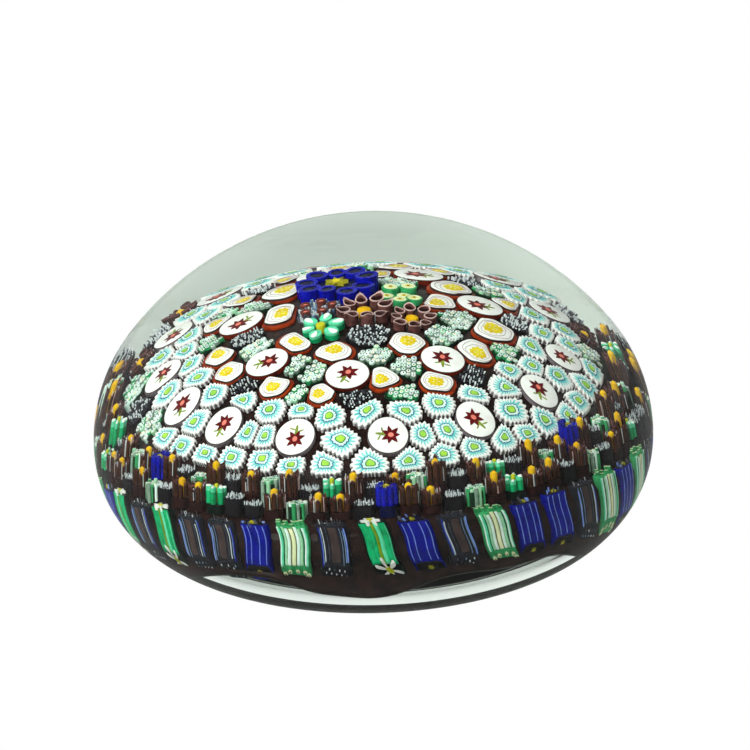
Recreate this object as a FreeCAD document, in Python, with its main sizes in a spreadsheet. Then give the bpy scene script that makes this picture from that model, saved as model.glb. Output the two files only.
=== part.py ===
import FreeCAD, Part
import math
import os
import random
import Sketcher

# A domed millefiori glass paperweight. Patterned glass canes stand side by side in
# rings and form a low domed carpet; every cane of the carpet points away from one
# apex below the base. Two rows of short upright canes make the skirt of the carpet,
# and one row of longer upright canes stands round its foot, open at the back. A gather
# of clear glass carries the canes, a dark glass bed lies between the two, and a thick
# clear dome covers everything. The nest of canes sits a little off the dome's axis and
# leans to the back, so it has a frame of its own: its axis is the nest's axis, its
# origin lies in the plane of the base. Main origin: middle of the flat polished base.
# Millimetres, +Z up.

NEST_SEED = 7
STRAY = 0.2                 # how far a pressed cane's place strays from its ring, in mm
TOP_STRAY = 0.4             # how far the tops of upright canes differ, in mm
PRESSED_REACH = 1.9         # a pressed cane reaches at most this many half widths
UPRIGHT_REACH = 1.8         # and an upright one this many
NEAR = 8                    # canes further apart than this many half widths do not touch
SHORTEST_EDGE = 0.25        # shorter edges of an outline are left out, in mm

FULL_TURN = 360

doc = FreeCAD.newDocument("paperweight")
Z_AXIS = FreeCAD.Vector(0, 0, 1)

# ---------------------------------------------------------------- driving dimensions

DIMENSIONS = (
    # alias, value in mm or degrees, what it is
    ("diameter", 80.0, "widest diameter of the dome"),
    ("equator_height", 14.0, "height of the widest place above the base"),
    ("crown_radius", 45.0, "radius of the crown arc of the outline"),
    ("shoulder_radius", 23.5, "radius of the shoulder arc of the outline"),
    ("heel_radius", 15.6, "radius of the arc that turns in to the base"),
    ("nest_x", -0.23, "where the axis of the nest of canes meets the base, along X"),
    ("nest_y", -1.10, "the same along Y"),
    ("nest_lean", 5.24, "lean of the nest's axis, in degrees"),
    ("nest_lean_bearing", 108.8, "bearing that it leans to"),
    ("core_radius", 17.5, "radius of the clear gather below the canes"),
    ("apex_depth", 15.1, "depth of the apex of the carpet along the nest's axis"),
    ("carpet_radius", 38.8, "from the apex to the tops of the carpet canes"),
    ("carpet_rim", 25.0, "radius of the edge of the carpet"),
    ("cane_length", 4.8, "length of a carpet cane"),
    ("film", 0.4, "clear film between cane tops and the dome's inner face"),
    ("seam", 0.16, "dark seam between two neighbouring canes"),
    ("bed_thickness", 0.8, "thickness of the dark glass bed"),
    ("bed_floor", 10.2, "height of the bed's underside at the skirt"),
    ("centre_ring", 1.2, "distance of the centre cane from the axis"),
    ("centre_size", 2.3, "half the width of the centre cane"),
    ("cobalt_ring", 6.4, "distance of the big cobalt cane from the axis"),
    ("cobalt_size", 3.3, "half the width of the big cobalt cane"),
    ("cluster_ring", 6.1, "distance of the canes next to the centre cane"),
    ("near_cluster_ring", 4.8, "distance of the nearest of them"),
    ("cluster_size", 2.1, "half the width of those canes"),
    ("flower_ring", 13.0, "ring of the inner flower canes"),
    ("flower_radius", 2.55, "radius of an inner flower cane"),
    ("near_egg_ring", 8.9, "ring of the egg canes next to the centre"),
    ("middle_egg_ring", 12.2, "ring of the egg canes between the flowers"),
    ("outer_middle_ring", 14.1, "ring of those a little further out"),
    ("far_egg_ring", 16.0, "ring of the egg canes outside the flowers"),
    ("egg_size", 1.7, "half the width of an egg cane"),
    ("near_filler_ring", 9.7, "ring of the tube bundles next to the centre"),
    ("middle_filler_ring", 12.8, "ring of the tube bundles between the flowers"),
    ("far_filler_ring", 16.5, "ring of the bundles outside the flowers"),
    ("filler_size", 1.5, "half the width of a tube bundle"),
    ("inner_daisy_ring", 18.6, "ring of the inner daisies"),
    ("outer_flower_ring", 21.2, "ring of the outer flower canes"),
    ("outer_flower_radius", 2.35, "radius of an outer flower cane"),
    ("middle_daisy_ring", 21.8, "ring of the daisies between the outer flowers"),
    ("edge_daisy_ring", 23.7, "ring of the daisies at the edge of the carpet"),
    ("daisy_size", 1.5, "half the width of a daisy cane"),
    ("upper_skirt_ring", 26.4, "ring of the upper skirt canes"),
    ("upper_skirt_top", 13.7, "height of their tops"),
    ("lower_skirt_ring", 28.4, "ring of the lower skirt canes"),
    ("lower_skirt_top", 12.7, "height of their tops"),
    ("skirt_size", 1.2, "half the width of a skirt cane"),
    ("skirt_foot", 11.0, "height of the foot of the skirt canes"),
    ("skirt_edge", 29.7, "outer radius of the skirt"),
    ("skirt_row_start", 148.0, "bearing where the hollow for the skirt canes starts"),
    ("skirt_row_arc", 244.0, "how far it goes round; the skirt is open at the back"),
    ("foot_ring", 30.9, "ring of the foot canes"),
    ("foot_top", 11.2, "height of their tops"),
    ("foot_size", 2.5, "half the width of a foot cane"),
    ("foot_foot", 5.5, "height of their lower ends"),
    ("foot_swirl", 3.0, "turn of their lower ends round the axis, in degrees"),
    ("foot_row_start", 136.4, "bearing where the hollow for the foot canes starts"),
    ("foot_row_arc", 270.2, "how far it goes round; the row is open at the back too"),
    ("foot_bed_floor", 4.0, "height of the underside of the glass below the foot canes"),
    ("wall_radius", 32.4, "radius of the wall round the foot canes"),
)

sizes = doc.addObject("Spreadsheet::Sheet", "sizes")
for row, (alias, value, note) in enumerate(DIMENSIONS, start=1):
    sizes.set("A%d" % row, note)
    sizes.set("B%d" % row, str(value))
    sizes.setAlias("B%d" % row, alias)
doc.recompute()


def size(alias):
    return float(sizes.get(alias))


# ---------------------------------------------------------------- turned glass bodies

HALF = "(sizes.diameter / 2)"
CROWN_REACH = "(sizes.crown_radius - sizes.shoulder_radius)"
SHOULDER_X = "(%s - sizes.shoulder_radius)" % HALF
DROP = "sqrt(%s^2 - %s^2)" % (CROWN_REACH, SHOULDER_X)
BASE_EDGE = "(%s - sizes.heel_radius + sqrt(sizes.heel_radius^2 - sizes.equator_height^2))" % HALF
COVER_RADIUS = "(sizes.carpet_radius + sizes.film)"
BED_INNER = "(sizes.carpet_radius - sizes.cane_length - sizes.film - sizes.bed_thickness)"
BED_OUTER = "(sizes.carpet_radius - sizes.cane_length - sizes.film)"


def on_sphere(radius, reach):
    """Height, as an expression, of the point at a reach from the axis on an apex sphere."""
    return "(sqrt(%s^2 - %s^2) - sizes.apex_depth)" % (radius, reach)


def frame_at(x, y, lean="0", bearing="0", turn="0"):
    """Expression for a frame whose axis leans to a bearing, turned about itself."""
    return ("placement(vector(%s; %s; 0); rotation(vector(-sin(%s); cos(%s); 0); %s)"
            " * rotation(vector(0; 0; 1); %s))" % (x, y, bearing, bearing, lean, turn))


def tipped(degrees):
    return "placement(vector(0; 0; 0); rotation(vector(1; 0; 0); %d))" % degrees


def draw_outline(body, label, start, steps, frame=None):
    """A closed sketch in the body's XZ plane that starts at a point and goes on by steps:
    a step is the next point, or the next point, the arc's radius and the arc's centre.
    A frame moves the sketch with its plane."""
    plane = next(f for f in body.Origin.OriginFeatures if f.Role == "XZ_Plane")
    sketch = body.newObject("Sketcher::SketchObject", label)
    sketch.AttachmentSupport = [(plane, "")]
    sketch.MapMode = "FlatFace"
    if frame:
        sketch.setExpression("AttachmentOffset", " * ".join((tipped(-90), frame, tipped(90))))

    def vector(point):
        x, z = (float(sizes.evalExpression(text.replace("sizes.", ""))) for text in point)
        return FreeCAD.Vector(x, z, 0)

    corners = [start] + [step[0] for step in steps[:-1]]
    enters = []        # which end of each segment the outline enters it by
    for index, step in enumerate(steps):
        a, b = vector(corners[index]), vector(step[0])
        if len(step) == 1:
            sketch.addGeometry(Part.LineSegment(a, b), False)
        else:
            middle = vector(step[2])
            halfway = (a - middle).normalize() + (b - middle).normalize()
            through = middle + halfway.normalize() * (a - middle).Length
            sketch.addGeometry(Part.Arc(a, through, b), False)
        enters.append(1 if (sketch.getPoint(index, 1) - a).Length < 1e-6 else 2)
    for index, step in enumerate(steps):
        for axis, kind in enumerate(("DistanceX", "DistanceY")):
            place = vector(corners[index])[axis]
            name = "corner%d%s" % (index, "xy"[axis])
            number = sketch.addConstraint(
                Sketcher.Constraint(kind, -1, 1, index, enters[index], place))
            sketch.renameConstraint(number, name)
            sketch.setExpression("Constraints." + name, corners[index][axis])
        if len(step) > 1:
            number = sketch.addConstraint(
                Sketcher.Constraint("Radius", index, sketch.Geometry[index].Radius))
            sketch.renameConstraint(number, "arc%d" % index)
            sketch.setExpression("Constraints.arc%d" % index, step[1])
        after = (index + 1) % len(steps)
        sketch.addConstraint(Sketcher.Constraint(
            "Coincident", index, 3 - enters[index], after, enters[after]))
    doc.recompute()
    return sketch


def turned(kind, body, label, start, steps, frame=None, arc=None):
    """Turns an outline about its own upright axis, all round or through an arc, and adds
    it to the body or cuts it out of it."""
    turn = body.newObject("PartDesign::" + kind, label)
    turn.Profile = draw_outline(body, label + "_outline", start, steps, frame)
    turn.ReferenceAxis = (turn.Profile[0], ["V_Axis"])
    if arc:
        turn.setExpression("Angle", arc)
    else:
        turn.Angle = FULL_TURN
    doc.recompute()


def turned_body(label, start, steps, frame=None, arc=None):
    body = doc.addObject("PartDesign::Body", label)
    body.Label = label
    turned("Revolution", body, label + "_turn", start, steps, None, arc)
    if frame:
        body.setExpression("Placement", frame)
    doc.recompute()
    return body


APEX = ("0", "-sizes.apex_depth")
crown_top = "(sizes.equator_height + sizes.crown_radius - %s)" % DROP
crown_end = ("%s * sizes.crown_radius / %s" % (SHOULDER_X, CROWN_REACH),
             "sizes.equator_height + sizes.shoulder_radius / %s * %s" % (CROWN_REACH, DROP))

NEST_FRAME = frame_at("sizes.nest_x", "sizes.nest_y", "sizes.nest_lean",
                      "sizes.nest_lean_bearing")
FOOT_FRAME = frame_at("sizes.nest_x", "sizes.nest_y", "sizes.nest_lean",
                      "sizes.nest_lean_bearing", "sizes.foot_row_start")
SKIRT_FRAME = frame_at("sizes.nest_x", "sizes.nest_y", "sizes.nest_lean",
                       "sizes.nest_lean_bearing", "sizes.skirt_row_start")
BACK = "sizes.apex_depth * sin(sizes.nest_lean)"
CORE_FRAME = frame_at("sizes.nest_x - %s * cos(sizes.nest_lean_bearing)" % BACK,
                      "sizes.nest_y - %s * sin(sizes.nest_lean_bearing)" % BACK)
nest = sizes.evalExpression(NEST_FRAME.replace("sizes.", ""))
APEX_POINT = nest.multVec(Z_AXIS * -size("apex_depth"))

dome = turned_body("clear_dome", ("0", "0"), (
    ((BASE_EDGE, "0"),),
    ((HALF, "sizes.equator_height"), "sizes.heel_radius",
     ("%s - sizes.heel_radius" % HALF, "sizes.equator_height")),
    (crown_end, "sizes.shoulder_radius", (SHOULDER_X, "sizes.equator_height")),
    (("0", crown_top), "sizes.crown_radius", ("0", "sizes.equator_height - " + DROP)),
    (("0", "0"),),
))

# the hollow for the carpet and the bed, between two spheres about the apex
BED_WALL = "(sizes.upper_skirt_ring - sizes.skirt_size)"
BED_EDGE = "(%s - sizes.seam)" % BED_WALL
floor_reach = "sqrt(%s^2 - (sizes.apex_depth + sizes.bed_floor)^2)" % BED_INNER
cover_rim = (BED_WALL, on_sphere(COVER_RADIUS, BED_WALL))
turned("Groove", dome, "carpet_hollow", ("0", "%s - sizes.apex_depth" % BED_INNER), (
    ((floor_reach, "sizes.bed_floor"), BED_INNER, APEX),
    ((BED_WALL, "sizes.bed_floor"),),
    (cover_rim,),
    (("0", "%s - sizes.apex_depth" % COVER_RADIUS), COVER_RADIUS, APEX),
    (("0", "%s - sizes.apex_depth" % BED_INNER),),
), NEST_FRAME)

# the hollow for the skirt canes and the shelf below them
hollow_wall = "(sizes.skirt_edge + sizes.seam)"
turned("Groove", dome, "skirt_hollow", (BED_EDGE, "sizes.bed_floor"), (
    ((hollow_wall, "sizes.bed_floor"),),
    ((hollow_wall, "sizes.lower_skirt_top + sizes.film"),),
    ((BED_EDGE, cover_rim[1]),),
    ((BED_EDGE, "sizes.bed_floor"),),
), SKIRT_FRAME, "sizes.skirt_row_arc")

# the hollow for the foot canes and the glass below them
foot_inside = "(sizes.skirt_edge + sizes.seam / 2)"
turned("Groove", dome, "foot_hollow", (foot_inside, "sizes.foot_bed_floor"), (
    (("sizes.wall_radius", "sizes.foot_bed_floor"),),
    (("sizes.wall_radius", "sizes.foot_top + sizes.film"),),
    ((foot_inside, "sizes.foot_top + sizes.film"),),
    ((foot_inside, "sizes.foot_bed_floor"),),
), FOOT_FRAME, "sizes.foot_row_arc")

# the hollow for the core, whose axis stands upright through the apex
SUNK = "(sizes.apex_depth * cos(sizes.nest_lean))"
CORE_TOP = "(sqrt(%s^2 - sizes.core_radius^2) - %s)" % (BED_INNER, SUNK)
core_outline = (
    (("sizes.core_radius", "0"),),
    (("sizes.core_radius", CORE_TOP),),
    (("0", "%s - %s" % (BED_INNER, SUNK)), BED_INNER, ("0", "-" + SUNK)),
    (("0", "0"),),
)
turned("Groove", dome, "core_hollow", ("0", "0"), core_outline, CORE_FRAME)
core = turned_body("clear_core", ("0", "0"), core_outline, CORE_FRAME)

# the bed: under the carpet a shell about the apex, at the rim a wedge, and a shelf below
# the skirt canes
RIM_SLOPE = "(sizes.carpet_rim / sqrt(sizes.carpet_radius^2 - sizes.carpet_rim^2))"
rim_low = ("%s * sizes.carpet_rim / sizes.carpet_radius" % BED_OUTER,
           on_sphere(BED_OUTER, "(%s * sizes.carpet_rim / sizes.carpet_radius)" % BED_OUTER))
bed = turned_body("ground_glass_bed", ("0", "%s - sizes.apex_depth" % BED_INNER), (
    ((floor_reach, "sizes.bed_floor"), BED_INNER, APEX),
    ((BED_EDGE, "sizes.bed_floor"),),
    ((BED_EDGE, "%s / %s - sizes.apex_depth" % (BED_EDGE, RIM_SLOPE)),),
    (rim_low,),
    (("0", "%s - sizes.apex_depth" % BED_OUTER), BED_OUTER, APEX),
    (("0", "%s - sizes.apex_depth" % BED_INNER),),
), NEST_FRAME)
shelf = "sizes.skirt_foot - sizes.seam"
shelf_inside = "(%s - 2 * sizes.seam)" % BED_EDGE
turned("Revolution", bed, "skirt_shelf", (shelf_inside, "sizes.bed_floor"), (
    (("sizes.skirt_edge", "sizes.bed_floor"),),
    (("sizes.skirt_edge", shelf),),
    ((shelf_inside, shelf),),
    ((shelf_inside, "sizes.bed_floor"),),
), frame_at("0", "0", turn="sizes.skirt_row_start"), "sizes.skirt_row_arc")

# the dark glass that the foot canes stand on
foot_bed_edge = "(sizes.wall_radius - sizes.seam)"
foot_bed_inside = "(sizes.skirt_edge + 2 * sizes.seam)"
foot_shelf = "sizes.foot_foot - sizes.seam"
foot_bed = turned_body("foot_glass_bed", (foot_bed_inside, "sizes.foot_bed_floor"), (
    ((foot_bed_edge, "sizes.foot_bed_floor"),),
    ((foot_bed_edge, foot_shelf),),
    ((foot_bed_inside, foot_shelf),),
    ((foot_bed_inside, "sizes.foot_bed_floor"),),
), FOOT_FRAME, "sizes.foot_row_arc")

# ---------------------------------------------------------------- places of the canes

# kind, node, ring, half width, bearings in degrees from +X, anticlockwise from above
CARPET = (
    ("pressed", "centre_cane", "centre_ring", "centre_size", (299,)),
    ("pressed", "cluster_cobalt_cane", "cobalt_ring", "cobalt_size", (114,)),
    ("pressed", "cluster_green_cane", "cobalt_ring", "cluster_size", (43,)),
    ("pressed", "cluster_amethyst_cane", "cluster_ring", "cluster_size", (339,)),
    ("pressed", "cluster_stringer_cane", "cluster_ring", "cluster_size", (276,)),
    ("pressed", "cluster_emerald_cane", "cluster_ring", "cluster_size", (225,)),
    ("pressed", "cluster_tube_cane", "near_cluster_ring", "cluster_size", (160,)),
    ("pressed", "near_egg_canes", "near_egg_ring", "egg_size", (167, 217, 254, 303, 20)),
    ("pressed", "middle_egg_canes", "middle_egg_ring", "egg_size", (42, 80, 92, 133)),
    ("pressed", "middle_egg_canes", "outer_middle_ring", "egg_size", (282, 332, 353)),
    ("round", "inner_flower_cane", "flower_ring", "flower_radius",
     (20, 64, 107, 165, 216, 262, 312)),
    ("pressed", "near_tube_bundles", "near_filler_ring", "filler_size", (279, 331, 356, 64)),
    ("pressed", "near_tube_bundles", "middle_filler_ring", "filler_size",
     (148, 201, 230, 246, 290)),
    ("pressed", "thread_bundles", "middle_filler_ring", "filler_size", (183,)),
    ("pressed", "thread_bundles", "far_filler_ring", "filler_size",
     (12, 50, 127, 217, 264, 317)),
    ("pressed", "far_egg_canes", "far_egg_ring", "egg_size",
     (27, 62, 78, 98, 116, 138, 158, 188, 205, 233, 251, 300)),
    ("pressed", "far_tube_bundles", "far_filler_ring", "filler_size",
     (38, 88, 107, 148, 172, 243, 286, 342)),
    ("pressed", "inner_daisy_canes", "inner_daisy_ring", "daisy_size",
     (11, 22, 36, 46, 61, 71, 86, 97, 110, 121, 135, 146, 160, 171, 182, 193, 207, 223, 237,
      247, 258, 270, 284, 296, 309, 322, 333, 343, 354)),
    ("round", "outer_flower_cane", "outer_flower_ring", "outer_flower_radius",
     (30, 54, 79, 103, 128, 152, 177, 200, 222, 248, 276.5, 305, 334, 359)),
    ("pressed", "middle_daisy_canes", "middle_daisy_ring", "daisy_size",
     (9, 19, 42, 66, 91, 115, 140, 164, 188, 211, 231, 239, 262, 287, 294, 319, 346)),
    ("pressed", "edge_daisy_canes", "edge_daisy_ring", "daisy_size",
     (2, 47, 60, 72, 84, 96, 108, 120, 202, 212, 221, 231, 240, 249, 258, 270, 282, 291, 301,
      310, 318, 327, 336, 344, 353)),
    ("pressed", "edge_amethyst_canes", "edge_daisy_ring", "daisy_size", (22, 133, 158)),
    ("pressed", "edge_mint_canes", "edge_daisy_ring", "daisy_size", (12, 170, 192)),
    ("pressed", "edge_stringer_canes", "edge_daisy_ring", "daisy_size", (35, 145, 182)),
)

# the skirt and foot canes in order round the axis, each letter one kind, - none
KINDS = {"A": "amethyst", "M": "mint", "S": "stringer", "E": "emerald", "C": "cobalt"}
NO_CANE = "-"
UPPER_SKIRT = ("AMASEA-----------------------SAMASA"
               "ESAMACASMASAMASEASAMASAESAMACASMAS")
LOWER_SKIRT = ("SAMAAS-----------------------CAASMA"
               "EAASAMSAAESSAMAASCAASMAEAASAMSAAES")
FOOT = "ESSCMSECSMCCSMCMSCESMC-----------CSCMSMCES"
FOOT_START = 218.6          # bearing of the first foot cane


def unit(bearing, lean):
    """Unit vector at a bearing, leaning from +Z, both in radians."""
    return FreeCAD.Vector(math.sin(lean) * math.cos(bearing),
                          math.sin(lean) * math.sin(bearing), math.cos(lean))


def prism(lower, upper):
    """Closed solid between two flat outlines with the same number of corners."""
    faces = [Part.Face(Part.makePolygon(lower + lower[:1])),
             Part.Face(Part.makePolygon(upper + upper[:1]))]
    count = len(lower)
    for i in range(count):
        k = (i + 1) % count
        faces.append(Part.Face(Part.makePolygon([lower[i], lower[k], upper[k], upper[i],
                                                 lower[i]])))
    solid = Part.Solid(Part.Shell(faces))
    if solid.Volume < 0:
        solid.reverse()
    return solid


def clipped(outline, normal, limit):
    """The part of a convex outline of (x, y) corners where corner . normal <= limit."""
    kept = []
    for a, b in zip(outline, outline[1:] + outline[:1]):
        over_a = a[0] * normal[0] + a[1] * normal[1] - limit
        over_b = b[0] * normal[0] + b[1] * normal[1] - limit
        if over_a <= 0:
            kept.append(a)
        if (over_a < 0 < over_b) or (over_b < 0 < over_a):
            f = over_a / (over_a - over_b)
            kept.append((a[0] + f * (b[0] - a[0]), a[1] + f * (b[1] - a[1])))
    return kept


def without_short_edges(outline, shortest):
    kept = []
    for corner in outline:
        if not kept or math.dist(corner, kept[-1]) > shortest:
            kept.append(corner)
    if math.dist(kept[0], kept[-1]) <= shortest:
        kept.pop()
    return kept


def start_outline(reach):
    """A twelve-sided outline, the most room a pressed cane takes."""
    sides = 12
    return [(reach * math.cos(2 * math.pi * (i + 0.5) / sides),
             reach * math.sin(2 * math.pi * (i + 0.5) / sides)) for i in range(sides)]


def share_of(distance, half, other_half, other_is_round=False):
    """How far a cane may reach towards a neighbour: up to a round cane's own edge, and
    otherwise to the seam between two pressed canes, which the wider one pushes away."""
    if other_is_round:
        return distance - other_half - size("seam") / 2
    return (distance + half - other_half - size("seam")) / 2


def pressed_outline(reach, limits):
    """Outline of a cane squeezed by its neighbours, about its own middle. limits holds
    the (normal, distance) lines that the outline stays behind."""
    outline = start_outline(reach)
    for normal, limit in limits:
        outline = clipped(outline, normal, limit)
    return without_short_edges(outline, SHORTEST_EDGE)


# ---------------------------------------------------------------- the carpet's canes

def carpet_canes():
    """Every cane of the carpet as (kind, node, axis direction, half width alias)."""
    stray = random.Random(NEST_SEED)
    canes = []
    for kind, node, ring, half, bearings in CARPET:
        for bearing in bearings:
            reach = size(ring)
            turn = math.radians(bearing)
            if kind == "pressed":
                turn += stray.uniform(-STRAY, STRAY) / reach
                reach += stray.uniform(-STRAY, STRAY)
            lean = math.asin(reach / size("carpet_radius"))
            axis = nest.Rotation.multVec(unit(turn, lean))
            canes.append((kind, node, axis, half))
    return canes


def carpet_frame(axis):
    """Two directions square to a cane's axis: along the ring, and down the slope."""
    along = nest.Rotation.multVec(Z_AXIS).cross(axis).normalize()
    return along, along.cross(axis)


def carpet_solid(index, canes):
    """The frustum of one pressed cane, its sides in planes through the apex."""
    kind, node, axis, half = canes[index]
    top, length = size("carpet_radius"), size("cane_length")
    along, down = carpet_frame(axis)
    lean = axis.getAngle(nest.Rotation.multVec(Z_AXIS))
    rim = (math.asin(size("carpet_rim") / top) - lean) * top - size("seam")
    limits = [((0, 1), rim)]
    for other, (other_kind, other_node, other_axis, other_half) in enumerate(canes):
        apart = axis.getAngle(other_axis) * top
        if other == index or apart > NEAR * size(half):
            continue
        toward = (other_axis - axis * axis.dot(other_axis)).normalize()
        share = share_of(apart, size(half), size(other_half), other_kind == "round")
        limits.append(((toward.dot(along), toward.dot(down)), share))
    outline = pressed_outline(PRESSED_REACH * size(half), limits)

    def ring_at(distance):
        scale = distance / top
        return [APEX_POINT + axis * distance + along * (x * scale) + down * (y * scale)
                for x, y in outline]

    return prism(ring_at(top - length), ring_at(top))


def add_feature(label, solids):
    feature = doc.addObject("Part::Feature", label)
    feature.Label = label
    feature.Shape = solids[0] if len(solids) == 1 else Part.makeCompound(solids)
    feature.Placement = FreeCAD.Placement()
    return feature


def add_round_cane(label, axis, half):
    """A round picture cane: a cone towards the apex, bound to the sheet."""
    cone = doc.addObject("Part::Cone", label)
    cone.Label = label
    cone.setExpression("Radius2", "sizes." + half)
    cone.setExpression("Radius1", "sizes.%s * (sizes.carpet_radius - sizes.cane_length)"
                                  " / sizes.carpet_radius" % half)
    cone.setExpression("Height", "sizes.cane_length")
    foot = APEX_POINT + axis * (size("carpet_radius") - size("cane_length"))
    cone.Placement = FreeCAD.Placement(foot, FreeCAD.Rotation(Z_AXIS, axis))
    return cone


parts = [dome, core, bed, foot_bed]
canes = carpet_canes()
for node in dict.fromkeys(row[1] for row in CARPET):
    members = [i for i, cane in enumerate(canes) if cane[1] == node]
    if canes[members[0]][0] == "round":
        for number, i in enumerate(members, start=1):
            parts.append(add_round_cane("%s_%d" % (node, number), canes[i][2], canes[i][3]))
    else:
        parts.append(add_feature(node, [carpet_solid(i, canes) for i in members]))

# ---------------------------------------------------------------- skirt and foot canes


def upright_places(order, ring, half, start, stray):
    """(kind letter, middle, half width) for each cane of a ring of upright canes."""
    places = []
    for number, letter in enumerate(order):
        turn = math.radians(start + FULL_TURN * number / len(order))
        turn += stray.uniform(-STRAY, STRAY) / ring
        middle = FreeCAD.Vector(math.cos(turn), math.sin(turn), 0) * ring
        places.append((letter, middle, half))
    return places


def upright_solid(place, neighbours, half, inner, outer, foot, top, swirl):
    """One upright cane between two radii, its lower end turned round the axis by swirl."""
    outward = FreeCAD.Vector(place).normalize()
    reach = place.Length
    limits = [((outward.x, outward.y), outer - reach), ((-outward.x, -outward.y), reach - inner)]
    for other in neighbours:
        apart = other - place
        if 0 < apart.Length < NEAR * half:
            toward = FreeCAD.Vector(apart).normalize()
            limits.append(((toward.x, toward.y), share_of(apart.Length, half, half)))
    outline = pressed_outline(UPRIGHT_REACH * half, limits)
    drift = FreeCAD.Rotation(Z_AXIS, swirl).multVec(place) - place
    upper = [nest.multVec(place + FreeCAD.Vector(x, y, top)) for x, y in outline]
    lower = [nest.multVec(place + drift + FreeCAD.Vector(x, y, foot)) for x, y in outline]
    return prism(lower, upper)


def upright_parts(name, places, neighbours, edges, heights, swirl, stray):
    """One node for each kind of a ring of upright canes, all solids of a kind together."""
    solids = {}
    inner, outer = edges
    foot, top = heights
    for letter, place, half in places:
        if letter == NO_CANE:
            continue
        end = top - abs(stray.uniform(-TOP_STRAY, TOP_STRAY))
        solid = upright_solid(place, neighbours, half, inner, outer, foot, end, swirl)
        solids.setdefault(letter, []).append(solid)
    return [add_feature("%s_%s_canes" % (name, KINDS[letter]), solids[letter])
            for letter in sorted(solids)]


stray = random.Random(NEST_SEED + 1)
skirt_inner = size("upper_skirt_ring") - size("skirt_size")
skirt_outer = size("skirt_edge")
foot_inner = skirt_outer + 2 * size("seam")
foot_outer = size("wall_radius") - 3 * size("seam")
upper = upright_places(UPPER_SKIRT, size("upper_skirt_ring"), size("skirt_size"), 0, stray)
lower = upright_places(LOWER_SKIRT, size("lower_skirt_ring"), size("skirt_size"),
                       FULL_TURN / 2 / len(LOWER_SKIRT), stray)
foot = upright_places(FOOT, size("foot_ring"), size("foot_size"), FOOT_START, stray)
skirt_middles = [place for letter, place, half in upper + lower]
foot_middles = [place for letter, place, half in foot]
parts += upright_parts("upper_skirt", upper, skirt_middles, (skirt_inner, skirt_outer),
                       (size("skirt_foot"), size("upper_skirt_top")), 0, stray)
parts += upright_parts("lower_skirt", lower, skirt_middles, (skirt_inner, skirt_outer),
                       (size("skirt_foot"), size("lower_skirt_top")), 0, stray)
parts += upright_parts("foot", foot, foot_middles, (foot_inner, foot_outer),
                       (size("foot_foot"), size("foot_top")), size("foot_swirl"), stray)

# ---------------------------------------------------------------- checks and files

doc.recompute()
for item in doc.Objects:
    if "Invalid" in item.State or "Error" in item.State:
        raise RuntimeError("%s did not build: %s" % (item.Name, item.State))
for part in parts:
    if part.Shape.isNull() or not part.Shape.isValid():
        raise RuntimeError("%s has no valid shape" % part.Label)

os.makedirs("parts", exist_ok=True)
for part in parts:
    part.Shape.exportStep("parts/%s.step" % part.Label)
print("parts written:", len(parts))
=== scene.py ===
import math
import random

import bmesh
import bpy
from mathutils import Matrix, Vector


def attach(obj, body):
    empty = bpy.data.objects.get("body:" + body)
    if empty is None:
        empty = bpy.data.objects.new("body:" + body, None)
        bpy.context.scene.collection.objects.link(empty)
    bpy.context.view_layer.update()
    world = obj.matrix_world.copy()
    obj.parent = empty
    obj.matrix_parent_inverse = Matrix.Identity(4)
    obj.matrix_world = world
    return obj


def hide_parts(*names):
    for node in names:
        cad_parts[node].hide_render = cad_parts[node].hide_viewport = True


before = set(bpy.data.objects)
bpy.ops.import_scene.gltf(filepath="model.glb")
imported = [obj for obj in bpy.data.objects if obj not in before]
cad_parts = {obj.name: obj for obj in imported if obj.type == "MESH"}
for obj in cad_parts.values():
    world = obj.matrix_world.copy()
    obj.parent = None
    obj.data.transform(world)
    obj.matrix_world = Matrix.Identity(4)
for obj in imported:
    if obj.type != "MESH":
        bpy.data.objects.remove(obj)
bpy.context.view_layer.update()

# ---------------------------------------------------------------- sizes, in metres

MM = 0.001
RADIUS = 40 * MM                 # half the widest diameter of the glass
EQUATOR = 14 * MM
CROWN_R, SHOULDER_R, HEEL_R = 45 * MM, 23.5 * MM, 15.6 * MM
SOFTNESS = 2                     # corners of a cane are rounded over this many spokes

# the frame of the canes, in millimetres: its axis leans to the back
LEAN, LEAN_BEARING = math.radians(5.24), math.radians(108.8)
NEST = (Matrix.Translation((-0.23, -1.10, 0))
        @ Matrix.Rotation(LEAN, 4, Vector((-math.sin(LEAN_BEARING),
                                           math.cos(LEAN_BEARING), 0))))
NEST_ACROSS = NEST.to_3x3() @ Vector((1, 0, 0))
NEST_UP = NEST.to_3x3() @ Vector((0, 0, 1))
APEX_DEPTH = 15.1
APEX = NEST @ Vector((0, 0, -APEX_DEPTH))   # the carpet canes all point away from here
CARPET_R = 38.8                             # from there to the tops of the canes

# the viewpoint, measured in glass radii and degrees
VIEW_DISTANCE = 5.5
VIEW_ELEVATION = 19.0
VIEW_ROLL = -1.587
AIM_HEIGHT = 0.4
LENS = 72.93
SHIFT_X, SHIFT_Y = 0.0028, 0.0555

# the studio: floor, room and softbox
FLOOR_SIDE = 3.0
FLOOR_COLOUR = (0.63, 0.65, 0.63)
ROOM_BRIGHT_TO, ROOM_DARK_FROM = 0.3, 0.75      # sine of the height above the horizon
ROOM_TOP = (0.25, 0.25, 0.25)
KEY_PLACE, KEY_SIZE, KEY_POWER = (-0.35, -0.3, 0.6), (0.5, 0.5), 5
KEY_AIM = (0, 0, 0.02)

# the clear glass
FRONT_MIRROR = 0.35       # share of the outer face's mirror image that is shown
GLASS_TINT = (0.88, 0.93, 0.89, 1)
SHADOW_TINT = (0.95, 0.97, 0.95, 1)
GLASS_IOR = 1.5


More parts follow.
